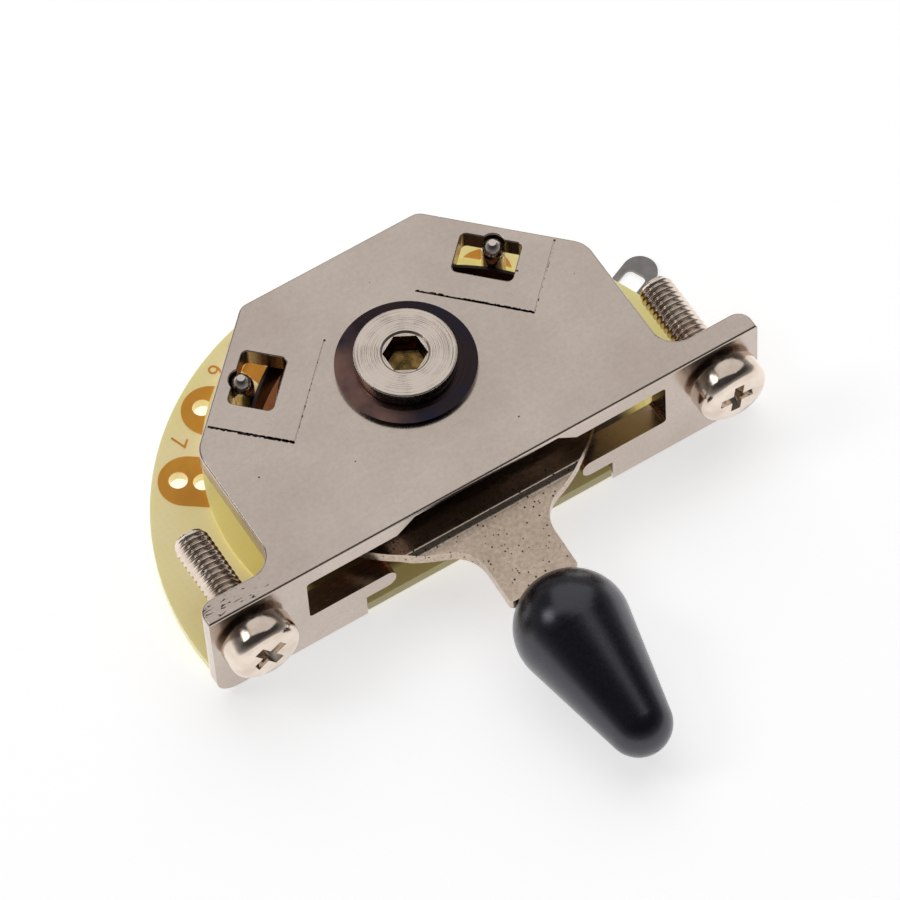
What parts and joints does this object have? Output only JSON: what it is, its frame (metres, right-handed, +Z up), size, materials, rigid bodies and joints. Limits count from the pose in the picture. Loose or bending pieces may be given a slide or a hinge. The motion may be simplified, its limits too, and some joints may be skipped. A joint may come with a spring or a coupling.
{
  "type": "guitar pickup selector switch",
  "caption": "Lever selector switch: cast nickel-plated frame with mounting flange, notched lever with black tip, contact rotor and round-backed circuit board.",
  "frame": {"origin": "front face of the mounting flange, midway between the two mounting screws, level with their axes", "axes": "+Z up out of the top plate along the pivot, +Y back from the panel, lever points to -Y"},
  "size_m": [0.0482, 0.0511, 0.0123],
  "materials": {
    "nickel_casting": "satin nickel plate over a zinc casting",
    "nickel_sheet": "satin nickel plate over stamped steel",
    "steel_bright": "bright turned steel",
    "spring_steel": "blackened spring steel",
    "board_fibreglass": "bare translucent fibreglass board",
    "copper": "lacquered copper",
    "bronze": "bright phosphor bronze",
    "tinned_brass": "dull tin over brass",
    "black_plastic": "satin black plastic",
    "red_fibre": "vulcanised fibre",
    "brown_phenolic": "pressed phenolic"
  },
  "bodies": {
    "housing": {"frame_body": "nickel_casting", "circuit_board": "board_fibreglass", "board_spacer": "board_fibreglass", "terminal_pads": "copper", "common_ring": "copper", "ground_lug": "tinned_brass", "lug_rivet": "steel_bright", "spring_post_left": "steel_bright", "spring_post_right": "steel_bright", "detent_spring": "spring_steel", "pivot_bush": "steel_bright", "pivot_nut": "steel_bright", "pivot_screw": "steel_bright", "dished_washer": "spring_steel", "mounting_screw_left": "steel_bright", "mounting_screw_right": "steel_bright"},
    "lever_assembly": {"lever": "nickel_sheet", "lever_tip": "black_plastic", "fibre_disc": "red_fibre", "contact_rotor": "brown_phenolic", "rotor_rivets": "steel_bright", "wiper_left": "bronze", "wiper_right": "bronze", "wiper_rivets": "bronze"}
  },
  "joints": [
    {"name": "lever_swing", "type": "hinge", "parent": "housing", "child": "lever_assembly", "pos_m": [0, 0.01153, 0], "axis": [0, 0, 1], "range_deg": [-30, 30], "deforming": ["detent_spring"]}
  ]
}
